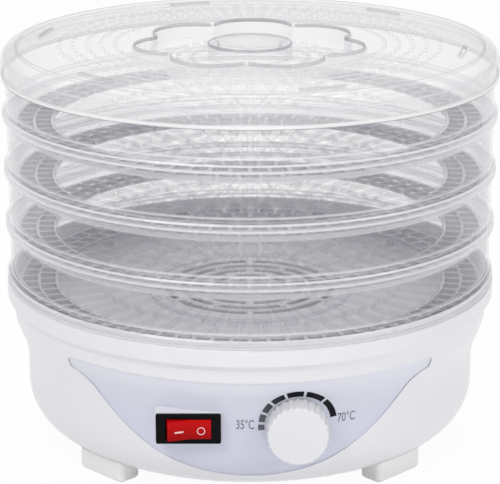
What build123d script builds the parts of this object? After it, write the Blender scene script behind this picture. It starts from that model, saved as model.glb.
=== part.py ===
from build123d import *
import math
import os

os.makedirs("parts", exist_ok=True)

# Frame: +Z is up from the table, the front faces -Y, the origin is on the axis at table level.

# Stack of trays
wall_radius = 158.0        # outside of a tray's wall
clear_wall = 2.0           # wall of the trays and the lid
tray_count = 4
tray_pitch = 36.0          # height that one tray adds to the stack
lip_wall = 2.1             # wall of the lip that hangs over the rim below
lip_drop = 3.0             # how far the lip hangs below the seat
lip_band = 1.0             # straight part of the lip above the seat
lip_height = 7.0           # where the lip has run out into the wall
stack_clearance = 0.5      # radial and vertical play of a lip on a rim
basket_clearance = 0.8     # play of a tray's basket inside the rim below
basket_depth = 10.0        # how far the basket hangs below the seat
rim_round = 0.6

# Slotted tray floor
floor_thickness = 2.8
slot_margin = 2.7          # solid edge outside the outermost ring of slots
slot_bar = 2.2             # bar between two rings of slots
slot_rib = 2.7             # rib between two slots of a ring
edge_slot_count = 72       # two staggered rings of short slots at the edge
edge_slot_length = 9.3     # radial
long_slot_counts = (48, 36, 24, 12)   # rings of long slots inside them
long_slot_length = 26.0

# Lid
lid_rise = 6.0             # top of the lid above its seat
lid_skirt = 13.0           # skirt below the seat
shoulder_radius = 9.0
seat_width = 3.3           # width of the ring that sits on the top rim
seat_slope = 4.0
plate_margin = 6.0         # flat top outside the curved slots
recess_depth = 10.0        # finger recess round the handle
lobe_count = 7
lobe_radius = 27.0
lobe_circle = 48.0         # centres of the lobes
lobe_turn = 88.0           # angle of the first lobe
lobe_round = 5.0           # rounding of the notches between lobes
handle_radius = 27.5
handle_round = 1.8
vent_length = 2.6          # radial
vent_width = 5.2
vent_count = 72
vent_inner = 87.0          # radius of the innermost ring
vent_pitch = 9.0
vent_rings = 5
pan_vent_count = 36
pan_vent_inner = 38.0
pan_vent_rings = 3
tab_radius = 138.0         # curved slots near the edge of the lid
tab_span = 11.0            # degrees
tab_width = 2.4
tab_count = 6
tab_turn = -12.0

# Base housing
base_height = 112.0        # seat of the lowest tray
base_gap = 8.0             # air under the base
base_radius = 148.3
bottom_round = 30.0
flare_start = 54.0
band_edge = 0.2            # band stands this much outside the lips
band_height = 10.5
band_step = 3.6            # band stands this much outside the flare
step_height = 4.0
band_round = 1.2
shell = 2.5
opening_radius = 98.0      # in the underside

# Fasteners
screw_radius = 1.5
head_radius = 3.0
head_height = 2.2
hole_play = 0.4            # radial, in clearance holes
thread_play = 0.05         # radial, in pilot holes and press seats
boss_radius = 4.5

# Bottom cover and feet
cover_overlap = 14.0
cover_thickness = 2.5
cover_boss = 9.5
intake_rings = 5
intake_inner = 26.0
intake_pitch = 12.0
intake_width = 5.0
intake_count = 6
intake_bar = 5.0           # between two slots of a ring
foot_circle = 127.0
foot_length = 40.0
foot_width = 17.0
foot_corner = 4.0
foot_edge = 1.5
foot_clearance = 0.1

# Deck, duct and grille
deck_clearance = 9.5       # between the lowest basket and the deck
deck_thickness = 2.5
deck_play = 0.7
ledge_width = 6.2
ledge_thickness = 2.0
deck_boss_inset = 3.5
duct_radius = 62.0         # inside
duct_wall = 2.5
duct_depth = 35.0
collar_height = 3.0
ear_offset = 4.0
ear_radius = 5.5
ear_height = 14.0
grille_play = 0.3
grille_thickness = 2.5
grille_rings = 5
grille_inner = 14.0
grille_pitch = 10.0
grille_slot = 5.0
grille_count = 6
grille_bar = 4.5           # between two slots of a ring

# Fan and motor
shaft_radius = 2.0
running_play = 0.05
strap_thickness = 2.0
strap_width = 14.0
bracket_thickness = 2.0
bracket_length = 58.0
bracket_width = 13.0
spacer_height = 4.0
spacer_radius = 4.0
bearing_radius = 4.0
bearing_height = 7.5
bearing_boss = 6.0
bearing_inset = 1.5        # how far the boss reaches in from its bracket
stator_height = 12.0
stator_width = 60.0
stator_front = 19.0
stator_back = 47.0
stator_leg = 14.0
stator_corner = 4.0
window_width = 30.0
window_height = 16.0
rotor_radius = 12.0
air_gap = 0.3
rotor_overhang = 1.0
motor_screw_spacing = 48.0
nut_radius = 3.1
nut_height = 2.4
bobbin_wall = 1.0
bobbin_play = 0.3
bobbin_flange = 1.5
flange_reach = 0.7
winding_thickness = 8.0
fan_gap = 2.0
fan_height = 12.0
hub_radius = 11.0
hub_crown = 1.0
fan_radius = 56.0
blade_count = 7
blade_chord = 14.0
blade_thickness = 1.8
blade_pitch = 35.0         # degrees

# Heater
shield_wall = 0.8
shield_play = 0.4
shield_ledge = 2.0
shield_height = 28.0
shield_rise = 3.0          # ledge above the duct's lower end
lug_length = 5.0
lug_width = 4.0
board_gap = 2.0            # over the fan
board_height = 12.0
board_thickness = 1.0
board_play = 0.2
heater_wire_radius = 1.2
wire_sink = 2.0            # wire's centre below the top of the boards
wire_corner = 3.0
notch_width = 6.0
wire_inner = 14.0
wire_outer = 50.0
wire_quarters = 11
fuse_radius = 2.0
fuse_length = 11.0
fuse_lead = 0.4
fuse_reach = 30.0          # place of the fuse along its board

# Control panel
control_height = 54.8      # centre line of switch and knob
panel_recess = 0.8
panel_thickness = 1.2
panel_backing = 2.5
panel_play = 0.05
panel_top = 86.0
panel_tip = 114.0          # half width at the top
panel_tip_low = 78.2
panel_tip_slant = 2.6
panel_flank = 96.0         # half width where the lower edge turns out to the tips
panel_bottom = 20.0
panel_sweep = 120.0        # radius of the lower edge
tip_round = 3.0
backing_margin = 3.0
mark_inner = 20.3
mark_outer = 24.1
mark_count = 7
mark_start = 186.0         # degrees
mark_first = 9.0
mark_growth = 4.2
mark_gap = 4.5
mark_thickness = 0.2

# Power switch
switch_x = -37.3
bezel_width = 39.5
bezel_height = 19.0
bezel_thickness = 2.0
pad_face = 150.0           # flat seat of the bezel, in front of the axis
pad_margin = 0.4
pad_depth = 19.0
switch_width = 36.0
switch_height = 17.0
switch_depth = 24.0
switch_play = 0.2
rocker_half = 13.2
rocker_height = 12.4
rocker_crown = 4.2
rocker_valley = 2.2
rocker_heel = 2.0
rocker_root = 6.0
rocker_tilt = 10.0         # degrees, each way
rocker_play = 0.3
pivot_sink = 1.5           # pivot behind the face of the bezel
trunnion_radius = 1.2
trunnion_length = 1.4
rocker_round = 0.7
blade_width = 6.3
terminal_thickness = 0.8
terminal_length = 8.0
switch_terminal_spacing = 20.0

# Thermostat and knob
knob_x = 29.0
knob_radius = 19.4
knob_depth = 13.0
knob_taper = 3.0           # degrees
knob_clearance = 3.3       # from the panel at mid height, so that the rim clears the flare
knob_cavity = 10.0
knob_wall = 3.2
knob_hub = 5.5
hub_sink = 2.0
flute_count = 26
flute_radius = 1.7
flute_depth = 0.9
knob_edge = 1.2
stem_radius = 3.0
stem_flat = 2.3            # flat of the stem from its axis
stem_engagement = 8.0
collar_radius = 4.2
collar_thickness = 1.0
bushing_radius = 4.75
bushing_proud = 5.0
thermo_boss = 12.0
thermo_seat = 140.5        # flat seat of the nut, in front of the axis
thermo_wall = 3.5
seat_radius = 9.5
thermo_nut_radius = 7.0
thermo_nut_height = 2.5
plate_width = 26.0
plate_height = 24.0
plate_thickness = 1.5
block_width = 24.0
block_height = 20.0
block_depth = 18.0
block_bore_play = 0.4
block_bore_depth = 4.0
thermo_terminal_spacing = 16.0

# Cord gland and wiring
gland_height = 46.0
gland_bore = 3.6
gland_body = 6.0
gland_flange = 8.5
gland_flange_thickness = 3.0
gland_lock = 2.5
gland_boss = 9.5
gland_boss_proud = 0.9
gland_boss_depth = 5.7
lead_radius = 1.1
lead_hole = 1.9
lead_spread = 2.0          # leads from the gland's axis
lead_entry = 2.0           # leads inside the gland's bore
lead_rise = 2.4            # heater leads above the boards

# Derived sizes of the stack
wall_inner = wall_radius - clear_wall
lip_inner = wall_radius + stack_clearance
lip_radius = lip_inner + lip_wall
basket_outer = wall_inner - basket_clearance
basket_inner = basket_outer - clear_wall
lid_seat = base_height + tray_count * tray_pitch
lid_top = lid_seat + lid_rise

# Derived sizes of the base
band_radius = lip_radius + band_edge
flare_radius = band_radius - band_step
shoulder = base_height - lip_drop - stack_clearance
band_bottom = shoulder - band_height
flare_end = band_bottom - step_height
floor_curve = base_radius - bottom_round
deck_top = base_height - basket_depth - deck_clearance
deck_bottom = deck_top - deck_thickness
deck_radius = flare_radius - shell - deck_play
ledge_inner = deck_radius + deck_play - ledge_width
deck_screw_circle = base_radius - shell - deck_boss_inset
cover_radius = opening_radius + cover_overlap
cover_screw_circle = opening_radius + cover_overlap / 2
cover_bottom = base_gap - cover_thickness
pilot_radius = screw_radius + thread_play
hole_radius = screw_radius + hole_play

# Derived heights of the fan, motor and heater, from the duct's lower end
duct_outer = duct_radius + duct_wall
duct_bottom = deck_bottom - duct_depth
ear_circle = duct_outer + ear_offset
strap_bottom = duct_bottom - strap_thickness
stator_top = strap_bottom - bracket_thickness - spacer_height
stator_bottom = stator_top - stator_height
upper_boss_bottom = strap_bottom - bracket_thickness - bearing_inset
lower_bracket_top = stator_bottom - spacer_height
lower_boss_top = lower_bracket_top + bearing_inset
fan_bottom = upper_boss_bottom + bearing_height + fan_gap
fan_top = fan_bottom + fan_height
board_bottom = fan_top + board_gap
board_top = board_bottom + board_height
shield_bottom = duct_bottom + shield_rise
shield_outer = duct_radius - shield_play
shield_inner = shield_outer - shield_wall
wire_height = board_top - wire_sink
lead_height = board_top + lead_rise

# Derived places of the controls
bezel_face = pad_face + bezel_thickness
pivot_face = bezel_face - pivot_sink
switch_back = pad_face - switch_depth
panel_face = base_radius - panel_recess
knob_back = panel_face + knob_clearance
knob_front = knob_back + knob_depth
thermo_back = thermo_seat - thermo_wall
block_front = thermo_back - plate_thickness
block_back = block_front - block_depth
stem_front = knob_back + hub_sink + stem_engagement


def shell_curve(inset):
    # The base's outline from its underside to the end of its flare, moved inwards
    low = (floor_curve, base_gap + inset)
    knee = (base_radius - inset, base_gap + bottom_round)
    waist = (base_radius - inset, flare_start)
    top = (flare_radius - inset, flare_end)
    middle = ((waist[0] + top[0]) / 2, (waist[1] + top[1]) / 2)
    TangentArc(low, knee, tangent=(1, 0))
    Line(knee, waist)
    lower_bend = TangentArc(waist, middle, tangent=(0, 1))
    TangentArc(middle, top, tangent=lower_bend % 1)
    return low, top


def shell_band(outer_inset, inner_inset, mode):
    # Turned layer of the base's wall between two depths under its surface
    with BuildSketch(Plane.XZ) as layer:
        with BuildLine():
            outer_low, outer_top = shell_curve(outer_inset)
            inner_low, inner_top = shell_curve(inner_inset)
            Line(outer_low, inner_low)
            Line(outer_top, inner_top)
        make_face()
    revolve(layer.sketch, axis=Axis.Z, mode=mode)


def panel_block(grow):
    # Boat-shaped outline of the control panel, run through the front wall
    near_side = Plane.XZ.offset(base_radius / 2)
    flank_height = panel_bottom + panel_sweep - math.sqrt(panel_sweep**2 - panel_flank**2)
    tip_end = panel_tip - panel_tip_slant
    with BuildSketch(near_side) as boat:
        with BuildLine():
            keel = ThreePointArc(
                (-panel_flank, flank_height),
                (0, panel_bottom),
                (panel_flank, flank_height),
            )
            TangentArc((panel_flank, flank_height), (tip_end, panel_tip_low), tangent=keel % 1)
            TangentArc((-panel_flank, flank_height), (-tip_end, panel_tip_low), tangent=-(keel % 0))
            Polyline(
                (tip_end, panel_tip_low),
                (panel_tip, panel_top),
                (-panel_tip, panel_top),
                (-tip_end, panel_tip_low),
            )
        make_face()
        fillet(boat.vertices().group_by(Axis.Y)[-1], tip_round)
        fillet(boat.vertices().group_by(Axis.Y)[1], tip_round)
        if grow:
            offset(amount=grow, mode=Mode.REPLACE)
    extrude(boat.sketch, amount=base_radius)


def arc_slots(radius, width, bar, count, turn):
    # A ring of curved slots in the sketch that is open
    span = 360 / count - math.degrees((width + bar) / radius)
    for k in range(count):
        start = turn + k * 360 / count - span / 2
        with BuildLine(mode=Mode.PRIVATE) as middle:
            CenterArc((0, 0), radius, start, span)
        SlotArc(middle.edges()[0], width, mode=Mode.SUBTRACT)


def slot_outlines(radius, length, width, count, turn, height):
    # Outlines of a ring of straight slots, the radius taken at their middles
    outlines = []
    for k in range(count):
        angle = math.radians(turn + k * 360 / count)
        along = Vector(math.cos(angle), math.sin(angle), 0)
        across = Vector(-math.sin(angle), math.cos(angle), 0)
        middle = along * radius + Vector(0, 0, height)
        corners = []
        for a, b in ((-1, -1), (1, -1), (1, 1), (-1, 1)):
            corners.append(middle + along * (a * length / 2) + across * (b * width / 2))
        outlines.append(Wire.make_polygon(corners, close=True))
    return outlines


def lead(points, radii):
    # Insulated wire along straight runs joined by arcs
    with BuildLine() as route:
        FilletPolyline(*points, radius=radii)
    with BuildSketch(Plane(origin=route.line @ 0, z_dir=route.line % 0)) as section:
        Circle(lead_radius)
    sweep(section.sketch, path=route.line)


# Base housing: turned shell, with a rim ring on top that the lowest tray sits on

with BuildPart() as panel_recess_cut:
    panel_block(0)
    shell_band(-bottom_round / 5, panel_recess + panel_thickness, Mode.INTERSECT)

with BuildPart() as panel_wall:
    panel_block(backing_margin)
    shell_band(
        panel_recess + panel_thickness,
        panel_recess + panel_thickness + panel_backing,
        Mode.INTERSECT,
    )

with BuildPart() as base_housing:
    with BuildSketch(Plane.XZ):
        with BuildLine():
            outer_low, outer_top = shell_curve(0)
            inner_low, inner_top = shell_curve(shell)
            Polyline(outer_top, (band_radius, band_bottom), (wall_inner, band_bottom), inner_top)
            Polyline(
                outer_low,
                (opening_radius, base_gap),
                (opening_radius, base_gap + shell),
                inner_low,
            )
        make_face()
    revolve(axis=Axis.Z)
    # Ledge and bosses that carry the deck
    with BuildSketch(Plane.XY.offset(deck_bottom - ledge_thickness)):
        Circle(flare_radius - shell / 2)
        Circle(ledge_inner, mode=Mode.SUBTRACT)
    extrude(amount=ledge_thickness)
    with BuildSketch(Plane.XY.offset(flare_start)):
        with PolarLocations(deck_screw_circle, 4, start_angle=45):
            Circle(boss_radius)
    extrude(amount=deck_bottom - flare_start)
    with BuildSketch(Plane.XY.offset(flare_start)):
        with PolarLocations(deck_screw_circle, 4, start_angle=45):
            Circle(pilot_radius)
    extrude(amount=deck_bottom - flare_start, mode=Mode.SUBTRACT)
    # Bosses for the screws of the bottom cover
    with BuildSketch(Plane.XY.offset(base_gap)):
        with PolarLocations(cover_screw_circle, 4, start_angle=45):
            Circle(boss_radius)
    extrude(amount=shell + cover_boss)
    with BuildSketch(Plane.XY.offset(base_gap)):
        with PolarLocations(cover_screw_circle, 4, start_angle=45):
            Circle(pilot_radius)
    extrude(amount=shell + cover_boss, mode=Mode.SUBTRACT)
    # Thermostat boss, then the recess that the panel lies in
    add(panel_wall.part)
    with BuildSketch(Plane.XZ.offset(thermo_back)):
        with Locations((knob_x, control_height)):
            Circle(thermo_boss)
    extrude(amount=base_radius - thermo_back)
    add(panel_recess_cut.part, mode=Mode.SUBTRACT)
    with BuildSketch(Plane.XZ.offset(thermo_seat)):
        with Locations((knob_x, control_height)):
            Circle(seat_radius)
    extrude(amount=base_radius - thermo_seat, mode=Mode.SUBTRACT)
    with BuildSketch(Plane.XZ.offset(thermo_back)):
        with Locations((knob_x, control_height)):
            Circle(bushing_radius + hole_play)
    extrude(amount=thermo_wall, mode=Mode.SUBTRACT)
    # Flat pad with the window of the power switch
    with BuildSketch(Plane.XZ.offset(pad_face)):
        with Locations((switch_x, control_height)):
            Rectangle(bezel_width + 2 * pad_margin, bezel_height + 2 * pad_margin)
    extrude(amount=-pad_depth)
    with BuildSketch(Plane.XZ.offset(pad_face)):
        with Locations((switch_x, control_height)):
            Rectangle(switch_width + 2 * switch_play, switch_height + 2 * switch_play)
    extrude(amount=-pad_depth, mode=Mode.SUBTRACT)
    # Flat boss with the hole of the cord gland, at the back
    with BuildSketch(Plane.XZ.offset(-base_radius - gland_boss_proud)):
        with Locations((0, gland_height)):
            Circle(gland_boss)
    extrude(amount=gland_boss_depth)
    with BuildSketch(Plane.XZ.offset(-base_radius - gland_boss_proud)):
        with Locations((0, gland_height)):
            Circle(gland_body + thread_play)
    extrude(amount=gland_boss_depth, mode=Mode.SUBTRACT)
base_housing.part.label = "base_housing"
export_step(base_housing.part, "parts/base_housing.step")

with BuildPart() as base_rim:
    with BuildSketch(Plane.XZ) as rim_section:
        with BuildLine():
            Polyline(
                (band_radius, band_bottom),
                (band_radius, shoulder),
                (wall_radius, shoulder),
                (wall_radius, base_height),
                (wall_inner, base_height),
                (wall_inner, band_bottom),
                close=True,
            )
        make_face()
        fillet(rim_section.vertices().group_by(Axis.X)[-1].sort_by(Axis.Y)[-1], band_round)
        fillet(rim_section.vertices().group_by(Axis.Y)[-1], rim_round)
    revolve(axis=Axis.Z)
base_rim.part.label = "base_rim"
export_step(base_rim.part, "parts/base_rim.step")

with BuildPart() as base_envelope:
    with BuildSketch(Plane.XZ):
        with BuildLine():
            low, top = shell_curve(-foot_clearance)
            Polyline(low, (0, low[1]), (0, top[1]), top)
        make_face()
    revolve(axis=Axis.Z)

with BuildPart() as feet:
    with BuildSketch():
        with PolarLocations(foot_circle, 4, start_angle=45):
            RectangleRounded(foot_width, foot_length, foot_corner)
    extrude(amount=base_gap + bottom_round / 2)
    chamfer(feet.edges().group_by(Axis.Z)[0], foot_edge)
    add(base_envelope.part, mode=Mode.SUBTRACT)
feet.part.label = "feet"
export_step(feet.part, "parts/feet.step")

# Bottom cover with curved intake slots
with BuildPart() as bottom_cover:
    with BuildSketch(Plane.XY.offset(cover_bottom)):
        Circle(cover_radius)
        for ring in range(intake_rings):
            radius = intake_inner + ring * intake_pitch
            arc_slots(radius, intake_width, intake_bar, intake_count, 30 * (ring % 2))
        with PolarLocations(cover_screw_circle, 4, start_angle=45):
            Circle(hole_radius, mode=Mode.SUBTRACT)
    extrude(amount=cover_thickness)
bottom_cover.part.label = "bottom_cover"
export_step(bottom_cover.part, "parts/bottom_cover.step")

with BuildPart() as cover_screws:
    with BuildSketch(Plane.XY.offset(cover_bottom - head_height)):
        with PolarLocations(cover_screw_circle, 4, start_angle=45):
            Circle(head_radius)
    extrude(amount=head_height)
    with BuildSketch(Plane.XY.offset(cover_bottom)):
        with PolarLocations(cover_screw_circle, 4, start_angle=45):
            Circle(screw_radius)
    extrude(amount=cover_thickness + shell + cover_boss)
cover_screws.part.label = "cover_screws"
export_step(cover_screws.part, "parts/cover_screws.step")

# Deck: drip plate with a collar and the air duct under it
with BuildPart() as base_deck:
    with BuildSketch(Plane.XZ):
        with BuildLine():
            Polyline(
                (duct_radius, duct_bottom),
                (duct_outer, duct_bottom),
                (duct_outer, deck_bottom),
                (deck_radius, deck_bottom),
                (deck_radius, deck_top),
                (duct_outer + duct_wall, deck_top),
                (duct_outer + duct_wall, deck_top + collar_height),
                (duct_outer, deck_top + collar_height),
                (duct_outer, deck_top),
                (duct_radius, deck_top),
                (duct_radius, shield_bottom),
                (duct_radius - shield_ledge, shield_bottom),
                (duct_radius - shield_ledge, shield_bottom - shield_ledge),
                (duct_radius, shield_bottom - shield_ledge),
                close=True,
            )
        make_face()
    revolve(axis=Axis.Z)
    with BuildSketch(Plane.XY.offset(duct_bottom)):
        with PolarLocations(ear_circle, 2):
            Circle(ear_radius)
    extrude(amount=ear_height)
    with BuildSketch(Plane.XY.offset(duct_bottom)):
        with PolarLocations(ear_circle, 2):
            Circle(pilot_radius)
    extrude(amount=ear_height, mode=Mode.SUBTRACT)
    with BuildSketch(Plane.XY.offset(deck_bottom)):
        with PolarLocations(deck_screw_circle, 4, start_angle=45):
            Circle(hole_radius)
    extrude(amount=deck_thickness, mode=Mode.SUBTRACT)
    # Holes for the heater's two leads, at the right and at the front
    with BuildSketch(Plane.YZ.offset(duct_radius - duct_wall)):
        with Locations((0, lead_height)):
            Circle(lead_hole)
    extrude(amount=3 * duct_wall, mode=Mode.SUBTRACT)
    with BuildSketch(Plane.XZ.offset(duct_radius - duct_wall)):
        with Locations((0, lead_height)):
            Circle(lead_hole)
    extrude(amount=3 * duct_wall, mode=Mode.SUBTRACT)
base_deck.part.label = "base_deck"
export_step(base_deck.part, "parts/base_deck.step")

with BuildPart() as deck_screws:
    with BuildSketch(Plane.XY.offset(deck_top)):
        with PolarLocations(deck_screw_circle, 4, start_angle=45):
            Circle(head_radius)
    extrude(amount=head_height)
    with BuildSketch(Plane.XY.offset(deck_top)):
        with PolarLocations(deck_screw_circle, 4, start_angle=45):
            Circle(screw_radius)
    extrude(amount=-deck_thickness - cover_boss)
deck_screws.part.label = "deck_screws"
export_step(deck_screws.part, "parts/deck_screws.step")

with BuildPart() as top_grille:
    with BuildSketch(Plane.XY.offset(deck_top)):
        Circle(duct_outer - grille_play)
        for ring in range(grille_rings):
            radius = grille_inner + ring * grille_pitch
            arc_slots(radius, grille_slot, grille_bar, grille_count, 30 * (ring % 2))
    extrude(amount=grille_thickness)
top_grille.part.label = "top_grille"
export_step(top_grille.part, "parts/top_grille.step")

# Heater: sheet metal sleeve, two crossed boards and a wire wound over them
with BuildPart() as heat_shield:
    with BuildSketch(Plane.XY.offset(shield_bottom)):
        Circle(shield_outer)
        Circle(shield_inner, mode=Mode.SUBTRACT)
    extrude(amount=shield_height)
    with BuildSketch(Plane.XY.offset(board_bottom - shield_wall)):
        with PolarLocations(shield_inner - lug_length / 2 + shield_wall / 2, 4):
            Rectangle(lug_length + shield_wall, lug_width)
    extrude(amount=shield_wall)
heat_shield.part.label = "heat_shield"
export_step(heat_shield.part, "parts/heat_shield.step")

wire_step = (wire_outer - wire_inner) / wire_quarters
wire_radii = [wire_inner + k * wire_step for k in range(wire_quarters + 1)]
notch_bottom = wire_height - heater_wire_radius - board_play
board_length = 2 * (shield_inner - board_play)

with BuildPart() as heater_boards:
    for turn in range(2):
        along = Plane.XZ if turn == 0 else Plane.YZ
        lap_height = board_height / 2 + board_play
        lap_centre = board_bottom + lap_height / 2 if turn == 0 else board_top - lap_height / 2
        with BuildSketch(along.offset(-board_thickness / 2)):
            with Locations((0, board_bottom + board_height / 2)):
                Rectangle(board_length, board_height)
            with Locations((0, lap_centre)):
                Rectangle(board_thickness + board_play, lap_height, mode=Mode.SUBTRACT)
            for k in range(turn, wire_quarters + 1, 2):
                side = 1 if k % 4 < 2 else -1
                with Locations((side * wire_radii[k], (notch_bottom + board_top) / 2)):
                    Rectangle(notch_width, board_top - notch_bottom, mode=Mode.SUBTRACT)
        extrude(amount=board_thickness)
heater_boards.part.label = "heater_boards"
export_step(heater_boards.part, "parts/heater_boards.step")

wire_points = []
for k, radius in enumerate(wire_radii):
    angle = math.radians(90 * k)
    wire_points.append((radius * math.cos(angle), radius * math.sin(angle), wire_height))

with BuildPart() as heater_wire:
    with BuildLine() as winding_route:
        FilletPolyline(*wire_points, radius=wire_corner)
    with BuildSketch(Plane(origin=winding_route.line @ 0, z_dir=winding_route.line % 0)):
        Circle(heater_wire_radius)
    sweep(path=winding_route.line)
heater_wire.part.label = "heater_wire"
export_step(heater_wire.part, "parts/heater_wire.step")

fuse_side = board_thickness / 2 + fuse_radius + thread_play
fuse_height = board_bottom + board_height / 3
with BuildPart() as thermal_fuse:
    with BuildSketch(Plane.XZ.offset(fuse_reach)):
        with Locations((fuse_side, fuse_height)):
            Circle(fuse_radius)
    extrude(amount=fuse_length)
    with BuildSketch(Plane.XZ.offset(fuse_reach - fuse_length / 2)):
        with Locations((fuse_side, fuse_height)):
            Circle(fuse_lead)
    extrude(amount=2 * fuse_length)
thermal_fuse.part.label = "thermal_fuse"
export_step(thermal_fuse.part, "parts/thermal_fuse.step")

# Motor, hung from a strap across the lower end of the duct
motor_screw_half = motor_screw_spacing / 2

with BuildPart() as motor_strap:
    with BuildSketch(Plane.XY.offset(strap_bottom)):
        SlotOverall(2 * (ear_circle + strap_width / 2), strap_width)
        Circle(bearing_boss + hole_play, mode=Mode.SUBTRACT)
        with Locations((-ear_circle, 0), (ear_circle, 0), (-motor_screw_half, 0), (motor_screw_half, 0)):
            Circle(hole_radius, mode=Mode.SUBTRACT)
    extrude(amount=strap_thickness)
motor_strap.part.label = "motor_strap"
export_step(motor_strap.part, "parts/motor_strap.step")

with BuildPart() as strap_screws:
    with BuildSketch(Plane.XY.offset(strap_bottom - head_height)):
        with PolarLocations(ear_circle, 2):
            Circle(head_radius)
    extrude(amount=head_height)
    with BuildSketch(Plane.XY.offset(strap_bottom)):
        with PolarLocations(ear_circle, 2):
            Circle(screw_radius)
    extrude(amount=strap_thickness + ear_height - head_height)
strap_screws.part.label = "strap_screws"
export_step(strap_screws.part, "parts/strap_screws.step")

with BuildPart() as motor_stator:
    with BuildSketch(Plane.XY.offset(stator_bottom)):
        with Locations((0, (stator_back - stator_front) / 2)):
            RectangleRounded(stator_width, stator_back + stator_front, stator_corner)
        Circle(rotor_radius + air_gap, mode=Mode.SUBTRACT)
        with Locations((0, stator_back - stator_leg - window_height / 2)):
            Rectangle(window_width, window_height, mode=Mode.SUBTRACT)
        with Locations((-motor_screw_half, 0), (motor_screw_half, 0)):
            Circle(hole_radius, mode=Mode.SUBTRACT)
    extrude(amount=stator_height)
motor_stator.part.label = "motor_stator"
export_step(motor_stator.part, "parts/motor_stator.step")

leg_centre = (stator_back - stator_leg / 2, (stator_bottom + stator_top) / 2)
tube_inner = (stator_leg + 2 * bobbin_play, stator_height + 2 * bobbin_play)
tube_outer = (tube_inner[0] + 2 * bobbin_wall, tube_inner[1] + 2 * bobbin_wall)
coil_size = (tube_outer[0] + 2 * winding_thickness, tube_outer[1] + 2 * winding_thickness)
flange_size = (coil_size[0] + 2 * flange_reach, coil_size[1] + 2 * flange_reach)
bobbin_half = window_width / 2 - bobbin_play

with BuildPart() as motor_bobbin:
    with BuildSketch(Plane.YZ.offset(-bobbin_half)):
        with Locations(leg_centre):
            Rectangle(*tube_outer)
    extrude(amount=2 * bobbin_half)
    for start in (-bobbin_half, bobbin_half - bobbin_flange):
        with BuildSketch(Plane.YZ.offset(start)):
            with Locations(leg_centre):
                Rectangle(*flange_size)
        extrude(amount=bobbin_flange)
    with BuildSketch(Plane.YZ.offset(-bobbin_half)):
        with Locations(leg_centre):
            Rectangle(*tube_inner)
    extrude(amount=2 * bobbin_half, mode=Mode.SUBTRACT)
motor_bobbin.part.label = "motor_bobbin"
export_step(motor_bobbin.part, "parts/motor_bobbin.step")

with BuildPart() as motor_winding:
    with BuildSketch(Plane.YZ.offset(-bobbin_half + bobbin_flange)):
        with Locations(leg_centre):
            RectangleRounded(*coil_size, winding_thickness / 2)
            Rectangle(*tube_outer, mode=Mode.SUBTRACT)
    extrude(amount=2 * (bobbin_half - bobbin_flange))
motor_winding.part.label = "motor_winding"
export_step(motor_winding.part, "parts/motor_winding.step")


def motor_bracket(strip_bottom, spacer_bottom, boss_bottom):
    # Strip with two spacers and a boss for the bearing
    with BuildSketch(Plane.XY.offset(strip_bottom)) as strip:
        SlotOverall(bracket_length, bracket_width)
    extrude(strip.sketch, amount=bracket_thickness)
    with BuildSketch(Plane.XY.offset(spacer_bottom)) as spacers:
        with Locations((-motor_screw_half, 0), (motor_screw_half, 0)):
            Circle(spacer_radius)
    extrude(spacers.sketch, amount=spacer_height)
    with BuildSketch(Plane.XY.offset(boss_bottom)) as boss:
        Circle(bearing_boss)
    extrude(boss.sketch, amount=bearing_height)
    with BuildSketch(Plane.XY.offset(boss_bottom)) as seat:
        Circle(bearing_radius + thread_play)
    extrude(seat.sketch, amount=bearing_height, mode=Mode.SUBTRACT)
    with BuildSketch(Plane.XY.offset(min(strip_bottom, spacer_bottom))) as holes:
        with Locations((-motor_screw_half, 0), (motor_screw_half, 0)):
            Circle(hole_radius)
    extrude(holes.sketch, amount=bracket_thickness + spacer_height, mode=Mode.SUBTRACT)


lower_bracket_bottom = lower_bracket_top - bracket_thickness
lower_boss_bottom = lower_boss_top - bearing_height

with BuildPart() as motor_bracket_upper:
    motor_bracket(strap_bottom - bracket_thickness, stator_top, upper_boss_bottom)
motor_bracket_upper.part.label = "motor_bracket_upper"
export_step(motor_bracket_upper.part, "parts/motor_bracket_upper.step")

with BuildPart() as motor_bracket_lower:
    motor_bracket(lower_bracket_bottom, lower_bracket_top, lower_boss_bottom)
motor_bracket_lower.part.label = "motor_bracket_lower"
export_step(motor_bracket_lower.part, "parts/motor_bracket_lower.step")

with BuildPart() as motor_bearings:
    for start in (lower_boss_bottom, upper_boss_bottom):
        with BuildSketch(Plane.XY.offset(start)):
            Circle(bearing_radius)
            Circle(shaft_radius + running_play, mode=Mode.SUBTRACT)
        extrude(amount=bearing_height)
motor_bearings.part.label = "motor_bearings"
export_step(motor_bearings.part, "parts/motor_bearings.step")

with BuildPart() as motor_screws:
    with BuildSketch(Plane.XY.offset(lower_bracket_bottom - head_height)):
        with Locations((-motor_screw_half, 0), (motor_screw_half, 0)):
            Circle(head_radius)
    extrude(amount=head_height)
    with BuildSketch(Plane.XY.offset(lower_bracket_bottom)):
        with Locations((-motor_screw_half, 0), (motor_screw_half, 0)):
            Circle(screw_radius)
    extrude(amount=duct_bottom + nut_height - lower_bracket_bottom)
motor_screws.part.label = "motor_screws"
export_step(motor_screws.part, "parts/motor_screws.step")

with BuildPart() as motor_nuts:
    with BuildSketch(Plane.XY.offset(duct_bottom)):
        with Locations((-motor_screw_half, 0), (motor_screw_half, 0)):
            RegularPolygon(nut_radius, 6)
            Circle(pilot_radius, mode=Mode.SUBTRACT)
    extrude(amount=nut_height)
motor_nuts.part.label = "motor_nuts"
export_step(motor_nuts.part, "parts/motor_nuts.step")

with BuildPart() as motor_rotor:
    with BuildSketch(Plane.XY.offset(stator_bottom - rotor_overhang)):
        Circle(rotor_radius)
        Circle(shaft_radius, mode=Mode.SUBTRACT)
    extrude(amount=stator_height + 2 * rotor_overhang)
motor_rotor.part.label = "motor_rotor"
export_step(motor_rotor.part, "parts/motor_rotor.step")

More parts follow.
